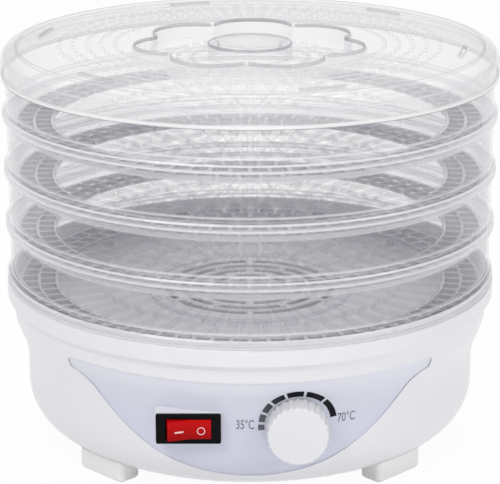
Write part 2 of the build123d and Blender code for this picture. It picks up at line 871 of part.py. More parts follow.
shaft_bottom = lower_boss_bottom - rotor_overhang
with BuildPart() as motor_shaft:
    with BuildSketch(Plane.XY.offset(shaft_bottom)):
        Circle(shaft_radius)
    extrude(amount=fan_top - hub_crown - shaft_bottom)
motor_shaft.part.label = "motor_shaft"
export_step(motor_shaft.part, "parts/motor_shaft.step")

with BuildPart() as fan_impeller:
    with BuildSketch(Plane.XY.offset(fan_bottom)):
        Circle(hub_radius)
    extrude(amount=fan_height)
    with Locations(Plane.XY.offset(fan_bottom + fan_height / 2)):
        with PolarLocations((fan_radius + hub_radius) / 2, blade_count):
            Box(
                fan_radius - hub_radius + blade_thickness,
                blade_chord,
                blade_thickness,
                rotation=(blade_pitch, 0, 0),
            )
    with BuildSketch(Plane.XY.offset(fan_bottom)):
        Circle(shaft_radius)
    extrude(amount=fan_height - hub_crown, mode=Mode.SUBTRACT)
fan_impeller.part.label = "fan_impeller"
export_step(fan_impeller.part, "parts/fan_impeller.step")

# Control panel: inlay that follows the curve of the front wall
with BuildPart() as control_panel:
    panel_block(-panel_play)
    shell_band(panel_recess, panel_recess + panel_thickness, Mode.INTERSECT)
    with BuildSketch(Plane.XZ):
        with Locations((switch_x, control_height)):
            window_margin = pad_margin + panel_play
            Rectangle(bezel_width + 2 * window_margin, bezel_height + 2 * window_margin)
        with Locations((knob_x, control_height)):
            Circle(seat_radius)
    extrude(amount=base_radius, mode=Mode.SUBTRACT)
control_panel.part.label = "control_panel"
export_step(control_panel.part, "parts/control_panel.step")

with BuildPart() as scale_marks:
    with BuildSketch(Plane.XZ.offset(base_radius / 2)):
        turn = mark_start
        for k in range(mark_count):
            span = mark_first + k * mark_growth
            with BuildLine():
                outer_arc = CenterArc((knob_x, control_height), mark_outer, turn - span, span)
                inner_arc = CenterArc((knob_x, control_height), mark_inner, turn - span, span)
                Line(outer_arc @ 0, inner_arc @ 0)
                Line(outer_arc @ 1, inner_arc @ 1)
            make_face()
            turn -= span + mark_gap
    extrude(amount=base_radius)
    shell_band(panel_recess - mark_thickness, panel_recess, Mode.INTERSECT)
scale_marks.part.label = "scale_marks"
export_step(scale_marks.part, "parts/scale_marks.step")

# Power switch: case with a bezel, and a rocker on two trunnions
slot_half = rocker_half * math.cos(math.radians(rocker_tilt))
slot_half += rocker_crown * math.sin(math.radians(rocker_tilt)) + rocker_play
rocker_slot = rocker_height + 2 * rocker_play
pivot_plane = Plane(origin=(switch_x, -pivot_face, control_height))

with BuildPart() as switch_body:
    with BuildSketch(Plane.XZ.offset(pad_face)):
        with Locations((switch_x, control_height)):
            RectangleRounded(bezel_width, bezel_height, bezel_thickness / 2)
    extrude(amount=bezel_thickness)
    with BuildSketch(Plane.XZ.offset(switch_back)):
        with Locations((switch_x, control_height)):
            Rectangle(switch_width, switch_height)
    extrude(amount=switch_depth)
    with BuildSketch(Plane.XZ.offset(bezel_face)):
        with Locations((switch_x, control_height)):
            Rectangle(2 * slot_half, rocker_slot)
    extrude(amount=-(pivot_sink + rocker_root + rocker_play), mode=Mode.SUBTRACT)
    with BuildSketch(pivot_plane.offset(-rocker_slot / 2 - trunnion_length)):
        Circle(trunnion_radius + running_play)
    extrude(amount=rocker_slot + 2 * trunnion_length, mode=Mode.SUBTRACT)
switch_body.part.label = "switch_body"
export_step(switch_body.part, "parts/switch_body.step")

tilt = math.radians(rocker_tilt)
tilted_plane = Plane(
    origin=(switch_x, -pivot_face, control_height),
    x_dir=(math.cos(tilt), math.sin(tilt), 0),
    z_dir=(0, 0, 1),
)

with BuildPart() as switch_rocker:
    with BuildSketch(tilted_plane.offset(-rocker_height / 2)):
        with BuildLine():
            Polyline(
                (-rocker_half, rocker_heel),
                (-rocker_half, -rocker_crown),
                (0, -rocker_valley),
                (rocker_half, -rocker_crown),
                (rocker_half, rocker_heel),
                (0, rocker_root),
                close=True,
            )
        make_face()
    extrude(amount=rocker_height)
    fillet(switch_rocker.edges().filter_by(Axis.Z).group_by(Axis.Y)[0], rocker_round)
    with BuildSketch(pivot_plane.offset(-rocker_height / 2 - trunnion_length)):
        Circle(trunnion_radius)
    extrude(amount=rocker_height + 2 * trunnion_length)
switch_rocker.part.label = "switch_rocker"
export_step(switch_rocker.part, "parts/switch_rocker.step")

with BuildPart() as switch_terminals:
    with BuildSketch(Plane.XZ.offset(switch_back)):
        for side in (-1, 1):
            with Locations((switch_x + side * switch_terminal_spacing / 2, control_height)):
                Rectangle(terminal_thickness, blade_width)
    extrude(amount=-terminal_length)
switch_terminals.part.label = "switch_terminals"
export_step(switch_terminals.part, "parts/switch_terminals.step")

# Thermostat behind the panel, with its stem and knob
with BuildPart() as thermostat_frame:
    with BuildSketch(Plane.XZ.offset(thermo_back)):
        with Locations((knob_x, control_height)):
            RectangleRounded(plate_width, plate_height, plate_thickness)
    extrude(amount=-plate_thickness)
    with BuildSketch(Plane.XZ.offset(block_front)):
        with Locations((knob_x, control_height)):
            Circle(bushing_radius)
    extrude(amount=thermo_seat + bushing_proud - block_front)
    with BuildSketch(Plane.XZ.offset(block_front)):
        with Locations((knob_x, control_height)):
            Circle(stem_radius + running_play)
    extrude(amount=thermo_seat + bushing_proud - block_front, mode=Mode.SUBTRACT)
thermostat_frame.part.label = "thermostat_frame"
export_step(thermostat_frame.part, "parts/thermostat_frame.step")

with BuildPart() as thermostat_block:
    with BuildSketch(Plane.XZ.offset(block_front)):
        with Locations((knob_x, control_height)):
            RectangleRounded(block_width, block_height, plate_thickness)
    extrude(amount=-block_depth)
    with BuildSketch(Plane.XZ.offset(block_front)):
        with Locations((knob_x, control_height)):
            Circle(collar_radius + block_bore_play)
    extrude(amount=-block_bore_depth, mode=Mode.SUBTRACT)
thermostat_block.part.label = "thermostat_block"
export_step(thermostat_block.part, "parts/thermostat_block.step")

with BuildPart() as thermostat_terminals:
    with BuildSketch(Plane.XZ.offset(block_back)):
        for side in (-1, 1):
            with Locations((knob_x + side * thermo_terminal_spacing / 2, control_height)):
                Rectangle(terminal_thickness, blade_width)
    extrude(amount=-terminal_length)
thermostat_terminals.part.label = "thermostat_terminals"
export_step(thermostat_terminals.part, "parts/thermostat_terminals.step")

with BuildPart() as thermostat_nut:
    with BuildSketch(Plane.XZ.offset(thermo_seat)):
        with Locations((knob_x, control_height)):
            RegularPolygon(thermo_nut_radius, 6)
            Circle(bushing_radius + thread_play, mode=Mode.SUBTRACT)
    extrude(amount=thermo_nut_height)
thermostat_nut.part.label = "thermostat_nut"
export_step(thermostat_nut.part, "parts/thermostat_nut.step")

collar_front = block_front - running_play
hub_back = knob_back + hub_sink

with BuildPart() as thermostat_shaft:
    with BuildSketch(Plane.XZ.offset(collar_front - collar_thickness)):
        with Locations((knob_x, control_height)):
            Circle(stem_radius)
    extrude(amount=stem_front - collar_front + collar_thickness)
    with BuildSketch(Plane.XZ.offset(collar_front - collar_thickness)):
        with Locations((knob_x, control_height)):
            Circle(collar_radius)
    extrude(amount=collar_thickness)
    with BuildSketch(Plane.XZ.offset(hub_back)):
        with Locations((knob_x, control_height + stem_flat + stem_radius)):
            Rectangle(2 * stem_radius, 2 * stem_radius)
    extrude(amount=stem_engagement, mode=Mode.SUBTRACT)
thermostat_shaft.part.label = "thermostat_shaft"
export_step(thermostat_shaft.part, "parts/thermostat_shaft.step")

with BuildPart() as temperature_knob:
    with BuildSketch(Plane.XZ.offset(knob_back)):
        with Locations((knob_x, control_height)):
            Circle(knob_radius)
    extrude(amount=knob_depth, taper=knob_taper)
    fillet(temperature_knob.edges().group_by(Axis.Y)[0], knob_edge)
    with BuildSketch(Plane.XZ.offset(knob_back)):
        with Locations((knob_x, control_height)):
            with PolarLocations(knob_radius + flute_radius - flute_depth, flute_count):
                Circle(flute_radius)
    extrude(amount=knob_depth, taper=-knob_taper, mode=Mode.SUBTRACT)
    with BuildSketch(Plane.XZ.offset(knob_back)):
        with Locations((knob_x, control_height)):
            Circle(knob_radius - knob_wall)
    extrude(amount=knob_cavity, mode=Mode.SUBTRACT)
    with BuildSketch(Plane.XZ.offset(hub_back)):
        with Locations((knob_x, control_height)):
            Circle(knob_hub)
    extrude(amount=knob_cavity - hub_sink)
    with BuildSketch(Plane.XZ.offset(hub_back)):
        with Locations((knob_x, control_height)):
            Circle(stem_radius + thread_play)
        with Locations((knob_x, control_height + stem_flat + thread_play + stem_radius)):
            Rectangle(2 * knob_hub, 2 * stem_radius, mode=Mode.SUBTRACT)
    extrude(amount=stem_engagement + thread_play, mode=Mode.SUBTRACT)
temperature_knob.part.label = "temperature_knob"
export_step(temperature_knob.part, "parts/temperature_knob.step")

# Cord gland at the back, and the wiring inside
gland_face = base_radius + gland_boss_proud
gland_inner = gland_face - gland_boss_depth
gland_end = gland_inner - gland_lock

with BuildPart() as cord_gland:
    with BuildSketch(Plane.XZ.offset(-gland_end)):
        with Locations((0, gland_height)):
            Circle(gland_body)
    extrude(amount=gland_end - gland_face)
    flange_front = gland_face + gland_flange_thickness
    for start, depth in ((gland_inner, gland_lock), (flange_front, gland_flange_thickness)):
        with BuildSketch(Plane.XZ.offset(-start)):
            with Locations((0, gland_height)):
                Circle(gland_flange)
        extrude(amount=depth)
    with BuildSketch(Plane.XZ.offset(-gland_end)):
        with Locations((0, gland_height)):
            Circle(gland_bore)
    extrude(amount=gland_end - gland_face - gland_flange_thickness, mode=Mode.SUBTRACT)
cord_gland.part.label = "cord_gland"
export_step(cord_gland.part, "parts/cord_gland.step")

entry = gland_end + lead_entry
left_entry = (-lead_spread, entry, gland_height - 1)
right_entry = (lead_spread, entry, gland_height - 1)
top_entry = (0, entry, gland_height + lead_spread)
switch_end = -(switch_back - terminal_length)
thermo_end = -(block_back - terminal_length)
switch_left = switch_x - switch_terminal_spacing / 2
switch_right = switch_x + switch_terminal_spacing / 2
thermo_left = knob_x - thermo_terminal_spacing / 2
thermo_right = knob_x + thermo_terminal_spacing / 2
wire_top = wire_height + heater_wire_radius
winding_back = leg_centre[0] + coil_size[0] / 2

supply_points = [
    (switch_left, switch_end, control_height),
    (switch_left, switch_end + 16, control_height),
    (-92, -78, 46),
    (-118, -20, 40),
    (-112, 45, 40),
    (-64, 104, 43),
    (-lead_spread, entry - 18, gland_height - 1),
    left_entry,
]
jumper_points = [
    (switch_right, switch_end, control_height),
    (switch_right, switch_end + 20, control_height),
    (thermo_left, thermo_end + 14, control_height),
    (thermo_left, thermo_end, control_height),
]
heater_points = [
    (thermo_right, thermo_end, control_height),
    (thermo_right, thermo_end + 14, control_height),
    (18, -86, 76),
    (0, -80, lead_height),
    (0, -wire_outer, lead_height),
    (0, -wire_outer, wire_top),
]
return_points = [
    (wire_inner, 0, wire_top),
    (wire_inner, 0, lead_height),
    (84, 0, lead_height),
    (108, 32, 62),
    (98, 74, 46),
    (42, 120, 45),
    (lead_spread, entry - 18, gland_height - 1),
    right_entry,
]
motor_points = [
    (0, winding_back, leg_centre[1]),
    (0, winding_back + 30, leg_centre[1] + 1),
    (0, entry - 24, gland_height + lead_spread),
    top_entry,
]

with BuildPart() as internal_wiring:
    lead(supply_points, 10)
    lead(jumper_points, 6)
    lead(heater_points, [6, 6, 6, 1.6])
    lead(return_points, [1.6, 10, 10, 10, 8, 6])
    lead(motor_points, 20)
internal_wiring.part.label = "internal_wiring"
export_step(internal_wiring.part, "parts/internal_wiring.step")

# Trays: four alike, made once with the seat at zero
tray_slots = []
slot_edge = basket_inner - slot_margin
slot_rows = [(edge_slot_count, edge_slot_length), (edge_slot_count, edge_slot_length)]
slot_rows += [(count, long_slot_length) for count in long_slot_counts]
for row, (count, length) in enumerate(slot_rows):
    width = math.tau * (slot_edge - length) / count - slot_rib
    turn = (row % 2) * 180 / count
    tray_slots += slot_outlines(slot_edge - length / 2, length, width, count, turn, -basket_depth)
    slot_edge -= length + slot_bar
floor_edge = Wire.make_circle(basket_inner, Plane.XY.offset(-basket_depth))
floor_face = Face(floor_edge, tray_slots)

with BuildPart() as tray_shape:
    with BuildSketch(Plane.XZ) as wall_section:
        with BuildLine():
            TangentArc((wall_radius, lip_height), (lip_radius, lip_band), tangent=(0, -1))
            Polyline(
                (lip_radius, lip_band),
                (lip_radius, -lip_drop),
                (lip_inner, -lip_drop),
                (lip_inner, 0),
                (basket_outer, 0),
                (basket_outer, -basket_depth),
                (basket_inner, -basket_depth),
                (basket_inner, clear_wall),
                (wall_inner, clear_wall),
                (wall_inner, tray_pitch),
                (wall_radius, tray_pitch),
                (wall_radius, lip_height),
            )
        make_face()
        fillet(wall_section.vertices().group_by(Axis.Y)[-1], rim_round)
    revolve(axis=Axis.Z)

with BuildPart() as floor_shape:
    extrude(floor_face, amount=floor_thickness, dir=(0, 0, 1), clean=False)

for number in range(1, tray_count + 1):
    seat = base_height + (number - 1) * tray_pitch
    with BuildPart() as tray:
        with Locations((0, 0, seat)):
            add(tray_shape.part, clean=False)
    tray.part.label = f"tray_{number}"
    export_step(tray.part, f"parts/tray_{number}.step")
    with BuildPart() as tray_floor:
        with Locations((0, 0, seat)):
            add(floor_shape.part, clean=False)
    tray_floor.part.label = f"tray_{number}_floor"
    export_step(tray_floor.part, f"parts/tray_{number}_floor.step")

# Lid: skirt and shoulder, a flower-shaped finger recess and a round handle in it
plate_radius = tab_radius + tab_width / 2 + plate_margin
plate_bottom = lid_top - clear_wall
pan_bottom = lid_top - recess_depth - clear_wall

with BuildSketch() as flower:
    Circle(lobe_circle)
    with PolarLocations(lobe_circle, lobe_count, start_angle=lobe_turn):
        Circle(lobe_radius)
    fillet(flower.vertices(), lobe_round)
with BuildSketch() as flower_outside:
    add(flower.sketch)
    offset(amount=clear_wall, mode=Mode.REPLACE)
with BuildSketch() as tabs:
    for k in range(tab_count):
        start = tab_turn + k * 360 / tab_count - tab_span / 2
        with BuildLine(mode=Mode.PRIVATE) as tab_middle:
            CenterArc((0, 0), tab_radius, start, tab_span)
        SlotArc(tab_middle.edges()[0], tab_width)

# Flat top with vent slots, six curved slots near its edge and the opening of the recess
to_plate = Location((0, 0, plate_bottom))
plate_holes = [face.outer_wire().moved(to_plate) for face in tabs.faces() + flower.faces()]
for ring in range(vent_rings):
    radius = vent_inner + ring * vent_pitch
    plate_holes += slot_outlines(radius, vent_length, vent_width, vent_count, 0, plate_bottom)
lid_plate = Face(Wire.make_circle(plate_radius, Plane.XY.offset(plate_bottom)), plate_holes)

# Floor of the recess with vent slots round the handle
pan_holes = [Wire.make_circle(handle_radius - clear_wall, Plane.XY.offset(pan_bottom))]
for ring in range(pan_vent_rings):
    radius = pan_vent_inner + ring * vent_pitch
    pan_holes += slot_outlines(radius, vent_length, vent_width, pan_vent_count, 0, pan_bottom)
pan_edge = flower_outside.face().outer_wire().moved(Location((0, 0, pan_bottom)))
pan_floor = Face(pan_edge, pan_holes)

with BuildPart() as lid:
    with BuildSketch(Plane.XZ):
        with BuildLine():
            shoulder_arc = TangentArc(
                (lip_radius, lid_top - shoulder_radius),
                (lip_radius - shoulder_radius, lid_top),
                tangent=(0, 1),
            )
            Polyline(
                shoulder_arc @ 1,
                (plate_radius, lid_top),
                (plate_radius, plate_bottom),
                (lip_inner - seat_width - seat_slope, plate_bottom),
                (lip_inner - seat_width, lid_seat),
                (lip_inner, lid_seat),
                (lip_inner, lid_seat - lid_skirt),
                (lip_radius, lid_seat - lid_skirt),
                shoulder_arc @ 0,
            )
        make_face()
    revolve(axis=Axis.Z)
    extrude(lid_plate, amount=clear_wall, dir=(0, 0, 1), clean=False)
lid.part.label = "lid"
export_step(lid.part, "parts/lid.step")

with BuildPart() as lid_pan:
    with BuildSketch(Plane.XY.offset(pan_bottom + clear_wall)):
        add(flower_outside.sketch)
        add(flower.sketch, mode=Mode.SUBTRACT)
    extrude(amount=recess_depth - clear_wall)
    extrude(pan_floor, amount=clear_wall, dir=(0, 0, 1), clean=False)
lid_pan.part.label = "lid_pan"
export_step(lid_pan.part, "parts/lid_pan.step")

with BuildPart() as lid_handle:
    with BuildSketch(Plane.XZ):
        with BuildLine():
            handle_arc = TangentArc(
                (handle_radius, lid_top - handle_round),
                (handle_radius - handle_round, lid_top),
                tangent=(0, 1),
            )
            Polyline(
                handle_arc @ 1,
                (0, lid_top),
                (0, plate_bottom),
                (handle_radius - clear_wall, plate_bottom),
                (handle_radius - clear_wall, pan_bottom + clear_wall),
                (handle_radius, pan_bottom + clear_wall),
                handle_arc @ 0,
            )
        make_face()
    revolve(axis=Axis.Z)
lid_handle.part.label = "lid_handle"
export_step(lid_handle.part, "parts/lid_handle.step")
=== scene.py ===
import math

import bpy
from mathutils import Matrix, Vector


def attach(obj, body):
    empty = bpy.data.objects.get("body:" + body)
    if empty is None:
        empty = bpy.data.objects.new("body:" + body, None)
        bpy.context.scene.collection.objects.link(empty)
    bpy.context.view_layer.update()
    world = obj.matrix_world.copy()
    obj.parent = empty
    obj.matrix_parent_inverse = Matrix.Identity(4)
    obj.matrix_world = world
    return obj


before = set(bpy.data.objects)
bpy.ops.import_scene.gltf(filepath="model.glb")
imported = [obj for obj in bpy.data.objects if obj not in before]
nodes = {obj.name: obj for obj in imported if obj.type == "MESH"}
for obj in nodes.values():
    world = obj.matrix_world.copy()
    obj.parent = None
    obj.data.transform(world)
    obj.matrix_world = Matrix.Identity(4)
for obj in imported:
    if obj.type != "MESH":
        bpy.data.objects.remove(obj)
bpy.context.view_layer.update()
bpy.ops.object.select_all(action="DESELECT")
print("frame loaded,", len(nodes), "nodes")


class Flow:
    # wraps one output socket, so that shader maths reads as plain sums
    def __init__(self, tree, socket):
        self.tree = tree
        self.socket = socket

    def plug(self, value, target):
        if isinstance(value, Flow):
            self.tree.links.new(value.socket, target)
        else:
            target.default_value = value

    def node(self, kind, settings, sockets, output=0):
        made = self.tree.nodes.new(kind)
        for key, value in settings.items():
            setattr(made, key, value)
        for key, value in sockets.items():
            self.plug(value, made.inputs[key])
        return Flow(self.tree, made.outputs[output])

    def maths(self, operation, first, second=0.0):
        return self.node("ShaderNodeMath", {"operation": operation}, {0: first, 1: second})

    def __add__(self, other):
        return self.maths("ADD", self, other)

    def __radd__(self, other):
        return self.maths("ADD", other, self)

    def __sub__(self, other):
        return self.maths("SUBTRACT", self, other)

    def __rsub__(self, other):
        return self.maths("SUBTRACT", other, self)

    def __mul__(self, other):
        return self.maths("MULTIPLY", self, other)

    def __rmul__(self, other):
        return self.maths("MULTIPLY", other, self)

    def __truediv__(self, other):
        return self.maths("DIVIDE", self, other)

    def __pow__(self, other):
        return self.maths("POWER", self, other)

    def __mod__(self, other):
        return self.maths("FLOORED_MODULO", self, other)


class Finish:
    # one material: its shader, its object coordinates and the numbers read from them
    def __init__(self, name):
        self.material = bpy.data.materials.new(name)
        self.material.use_nodes = True
        tree = self.material.node_tree
        tree.nodes.clear()
        self.output = tree.nodes.new("ShaderNodeOutputMaterial")
        self.shader = tree.nodes.new("ShaderNodeBsdfPrincipled")
        tree.links.new(self.shader.outputs[0], self.output.inputs[0])
        coords = tree.nodes.new("ShaderNodeTexCoord")
        self.place = Flow(tree, coords.outputs["Object"])
        split = tree.nodes.new("ShaderNodeSeparateXYZ")
        tree.links.new(coords.outputs["Object"], split.inputs[0])
        self.x, self.y, self.z = (Flow(tree, split.outputs[k]) for k in range(3))

    def set(self, **values):
        for key, value in values.items():
            self.place.plug(value, self.shader.inputs[key.replace("_", " ")])

    def noise(self, scale, detail=3.0, rough=0.55, stretch=None):
        where = self.place
        if stretch:
            where = where.node("ShaderNodeMapping", {}, {"Vector": where, "Scale": stretch})
        return where.node("ShaderNodeTexNoise", {},
                          {"Vector": where, "Scale": scale, "Detail": detail, "Roughness": rough})

    def blend(self, factor, first, second):
        return self.place.node("ShaderNodeMix", {"data_type": "RGBA"}, {0: factor, 6: first, 7: second}, 2)

    def bump(self, height, strength, distance):
        return self.place.node("ShaderNodeBump", {},
                               {"Height": height, "Strength": strength, "Distance": distance})

    def ramp(self, value, low, high):
        return self.place.node("ShaderNodeMapRange", {"interpolation_type": "SMOOTHSTEP"},
                               {0: value, 1: low, 2: high, 3: 0.0, 4: 1.0})

    def band(self, value, low, high, soft):
        # 1 between two places, falling to 0 over a soft edge outside them
        return self.ramp(value, low - soft, low) * (1 - self.ramp(value, high, high + soft))

    def radius(self):
        return (self.x * self.x + self.y * self.y) ** 0.5

    def bearing(self):
        return self.place.maths("ARCTAN2", self.y, self.x)


def solid(colour):
    return colour + (1,)


def tint(colour, factor):
    return tuple(min(1.0, channel * factor) for channel in colour) + (1,)


# Opaque mouldings: fine spark texture, faint flow marks and slightly uneven gloss
plasticGrain = {"flow": (38.0, 4.0, 0.6), "spark": (2600.0, 2.0, 0.6), "sheen": (160.0, 3.0),
                "sheenDepth": 0.08, "flowShare": 0.6, "depth": 0.00012, "index": 1.49, "coatRough": 0.12}
plasticLook = {
    "housing": {"colour": (0.840, 0.838, 0.876), "rough": 0.34, "grain": 0.10, "flow": 0.02, "coat": 0.25},
    "knob": {"colour": (0.805, 0.807, 0.833), "rough": 0.33, "grain": 0.12, "flow": 0.02, "coat": 0.2},
    "feet": {"colour": (0.920, 0.920, 0.905), "rough": 0.50, "grain": 0.25, "flow": 0.03},
    "bezel": {"colour": (0.004, 0.004, 0.005), "rough": 0.42, "grain": 0.20, "flow": 0.10, "gloss": 0.07},
    "fanBlack": {"colour": (0.030, 0.030, 0.033), "rough": 0.45, "grain": 0.20, "flow": 0.10},
    "bobbinCream": {"colour": (0.62, 0.58, 0.48), "rough": 0.5, "grain": 0.2, "flow": 0.05},
    "glandGrey": {"colour": (0.45, 0.45, 0.46), "rough": 0.6, "grain": 0.3, "flow": 0.05},
    "sleeveWhite": {"colour": (0.60, 0.60, 0.585), "rough": 0.55, "grain": 0.2, "flow": 0.06},
    "ceramicBlock": {"colour": (0.66, 0.63, 0.57), "rough": 0.7, "grain": 0.6, "flow": 0.08},
    "micaBoard": {"colour": (0.30, 0.22, 0.14), "rough": 0.6, "grain": 0.5, "flow": 0.30},
}


def mouldedPlastic(name):
    look = plasticLook[name]
    finish = Finish(name)
    flow = finish.noise(*plasticGrain["flow"])
    spark = finish.noise(*plasticGrain["spark"])
    sheen = finish.noise(*plasticGrain["sheen"])
    depth = plasticGrain["sheenDepth"]
    darker, paler = (tint(look["colour"], 1 + side * look["flow"]) for side in (-1, 1))
    relief = spark + plasticGrain["flowShare"] * flow
    finish.set(Base_Color=finish.blend(flow, darker, paler),
               Roughness=look["rough"] - depth / 2 + depth * sheen,
               Normal=finish.bump(relief, look["grain"], plasticGrain["depth"]))
    finish.set(IOR=plasticGrain["index"], Specular_IOR_Level=look.get("gloss", 0.5))
    if "coat" in look:
        finish.set(Coat_Weight=look["coat"], Coat_Roughness=plasticGrain["coatRough"])
    return finish.material


# Control panel: satin film with a very fine grain, with painted light making it paler towards the top edge
panelLook = {"colour": (0.675, 0.688, 0.808), "edge": (0.785, 0.795, 0.865), "paintedLightFrom": 0.050, "paintedLightTo": 0.090,
             "rough": 0.42, "grain": (3200.0, 2.0), "grainRough": 0.06, "grainRelief": (0.10, 0.0001),
             "cloud": (22.0, 3.0), "cloudShare": 0.12, "cloudShade": 0.93, "index": 1.5}


def panelFilm():
    finish = Finish("panelFilm")
    grain = finish.noise(*panelLook["grain"])
    cloud = finish.noise(*panelLook["cloud"])
    # painted light: the film's tint pales to the edge colour towards the top
    paintedLightRise = finish.ramp(finish.z, panelLook["paintedLightFrom"], panelLook["paintedLightTo"])
    base = finish.blend(paintedLightRise, solid(panelLook["colour"]), solid(panelLook["edge"]))
    shade = tint(panelLook["colour"], panelLook["cloudShade"])
    finish.set(Base_Color=finish.blend(cloud * panelLook["cloudShare"], base, shade),
               Roughness=panelLook["rough"] + panelLook["grainRough"] * grain,
               Normal=finish.bump(grain, *panelLook["grainRelief"]))
    finish.set(IOR=panelLook["index"])
    return finish.material


# Printed inks: the scale marks darken clockwise round the knob, the readings are plain grey
markLook = {"centre": (0.029, 0.0548), "first": (0.150, 0.152, 0.172), "last": (0.004, 0.004, 0.010),
            "turns": (-1.85, -0.10), "speck": (1500.0, 2.0), "rough": (0.38, 0.15),
            "relief": (0.08, 0.00008), "gloss": 0.15}
labelLook = {"dark": (0.090, 0.090, 0.110), "pale": (0.140, 0.140, 0.165), "speck": (1800.0, 2.0),
             "rough": (0.42, 0.12)}


def markInk():
    finish = Finish("markInk")
    across = finish.x - markLook["centre"][0]
    up = finish.z - markLook["centre"][1]
    turn = finish.place.maths("ARCTAN2", across, up)           # -90 degrees at the left, +90 at the right
    share = finish.ramp(turn, *markLook["turns"])
    speck = finish.noise(*markLook["speck"])
    least, more = markLook["rough"]
    finish.set(Base_Color=finish.blend(share, solid(markLook["first"]), solid(markLook["last"])),
               Roughness=least + more * speck, Normal=finish.bump(speck, *markLook["relief"]))
    finish.set(Specular_IOR_Level=markLook["gloss"])
    return finish.material


def labelInk():
    finish = Finish("labelInk")
    speck = finish.noise(*labelLook["speck"])
    least, more = labelLook["rough"]
    finish.set(Base_Color=finish.blend(speck, solid(labelLook["dark"]), solid(labelLook["pale"])),
               Roughness=least + more * speck)
    return finish.material


# Rocker: red, with painted shade making it deeper low down, with two pale signs
rockerLook = {"face": (0.590, 0.003, 0.004), "shadedRed": (0.330, 0.001, 0.002), "heights": (0.0478, 0.0615),
              "cloud": (120.0, 2.0), "shares": (0.8, 0.2), "rough": (0.16, 0.08), "skin": (900.0, 2.0),
              "relief": (0.05, 0.0001), "gloss": 0.10}
symbolLook = {"colour": (0.820, 0.560, 0.560), "paler": 1.1, "speck": (1500.0, 2.0), "rough": (0.40, 0.1)}


def rockerRed():
    finish = Finish("rockerRed")
    # painted shade: the red is darker towards the bottom of the rocker
    low = finish.ramp(finish.z, *rockerLook["heights"])
    cloud = finish.noise(*rockerLook["cloud"])
    shadeByHeight, byCloud = rockerLook["shares"]
    least, more = rockerLook["rough"]
    share = low * shadeByHeight + byCloud * cloud
    finish.set(Base_Color=finish.blend(share, solid(rockerLook["shadedRed"]), solid(rockerLook["face"])),
               Roughness=least + more * cloud,
               Normal=finish.bump(finish.noise(*rockerLook["skin"]), *rockerLook["relief"]))
    finish.set(Specular_IOR_Level=rockerLook["gloss"])
    return finish.material


def symbolInk():
    finish = Finish("symbolInk")
    speck = finish.noise(*symbolLook["speck"])
    least, more = symbolLook["rough"]
    paler = tint(symbolLook["colour"], symbolLook["paler"])
    finish.set(Base_Color=finish.blend(speck, solid(symbolLook["colour"]), paler),
               Roughness=least + more * speck)
    return finish.material


# Clear mouldings: see-through when faced, milky on lips and rims with painted highlights, greyer along every
# cut edge with painted shade
clearSkin = {"facing": 0.5, "waves": (14.0, 3.0, 0.5), "fine": (900.0, 2.0), "fineRough": 0.05,
             "fineShare": 0.02, "relief": (0.20, 0.0005), "index": 1.49, "waveShare": 0.4, "wavePaler": 1.06,
             "densest": 0.96}
# each look holds the plastic's tint, a dark painted shade colour for cut edges and a pale painted highlight
# colour
clearLook = {
    "trayWall": {"colour": (0.85, 0.85, 0.89), "edge": (0.42, 0.42, 0.47), "paintedHighlight": (0.97, 0.97, 0.99),
                 "faced": 0.035, "grazing": 0.40, "power": 2.6, "rough": 0.06},
    "trayFloor": {"colour": (0.84, 0.84, 0.88), "edge": (0.36, 0.36, 0.41), "paintedHighlight": (0.98, 0.98, 1.00),
                  "faced": 0.05, "grazing": 0.09, "power": 2.0, "rough": 0.10},
    "lidTop": {"colour": (0.95, 0.95, 0.965), "edge": (0.28, 0.28, 0.31), "paintedHighlight": (1.00, 1.00, 1.00),
               "faced": 0.20, "grazing": 0.26, "power": 2.2, "rough": 0.14},
}


class ClearFinish(Finish):
    # a see-through finish, denser at a grazing angle
    def __init__(self, name):
        super().__init__(name)
        self.look = clearLook[name]
        facing = self.place.node("ShaderNodeLayerWeight", {}, {"Blend": clearSkin["facing"]}, 1)
        self.waves = self.noise(*clearSkin["waves"])
        fine = self.noise(*clearSkin["fine"])
        self.set(Roughness=self.look["rough"] + clearSkin["fineRough"] * fine,
                 Normal=self.bump(self.waves + clearSkin["fineShare"] * fine, *clearSkin["relief"]))
        self.set(IOR=clearSkin["index"])
        self.veil = self.look["faced"] + self.look["grazing"] * facing ** self.look["power"]

    def sector(self, angle, count, turn):
        # angle from the middle of the nearest of so many equal sectors
        step = 2 * math.pi / count
        return (((angle - math.radians(turn)) / step + 0.5) % 1.0 - 0.5) * step

    def slotEdge(self, across, angle, slot):
        # 1 at the edges of a ring of slots, 0 a little way outside them
        along = self.place.maths("ABSOLUTE", across - slot["middle"])
        aside = self.sector(angle, slot["count"], slot["turn"]) * across
        reaches = [(along, slot["length"] / 2), (self.place.maths("ABSOLUTE", aside), slot["width"] / 2)]
        near, far = slot["margin"] * 0.3, slot["margin"]
        ends, sides = (1 - self.ramp(value, half + near, half + far) for value, half in reaches)
        return ends * sides

    def slotEdges(self, across, angle, slots):
        total = 0.0
        for slot in slots:
            total = self.slotEdge(across, angle, slot) + total
        return total

    def final(self, alpha, edge, paintedHighlight):
        look = self.look
        paler = tint(look["colour"], clearSkin["wavePaler"])
        colour = self.blend(self.waves * clearSkin["waveShare"], solid(look["colour"]), paler)
        # blends in the painted highlight colour where the marks are bright, then the painted shade colour along
        # edges
        colour = self.blend(paintedHighlight, colour, solid(look["paintedHighlight"]))
        self.set(Base_Color=self.blend(edge, colour, solid(look["edge"])),
                 Alpha=self.place.maths("MINIMUM", alpha, clearSkin["densest"]))
        return self.material


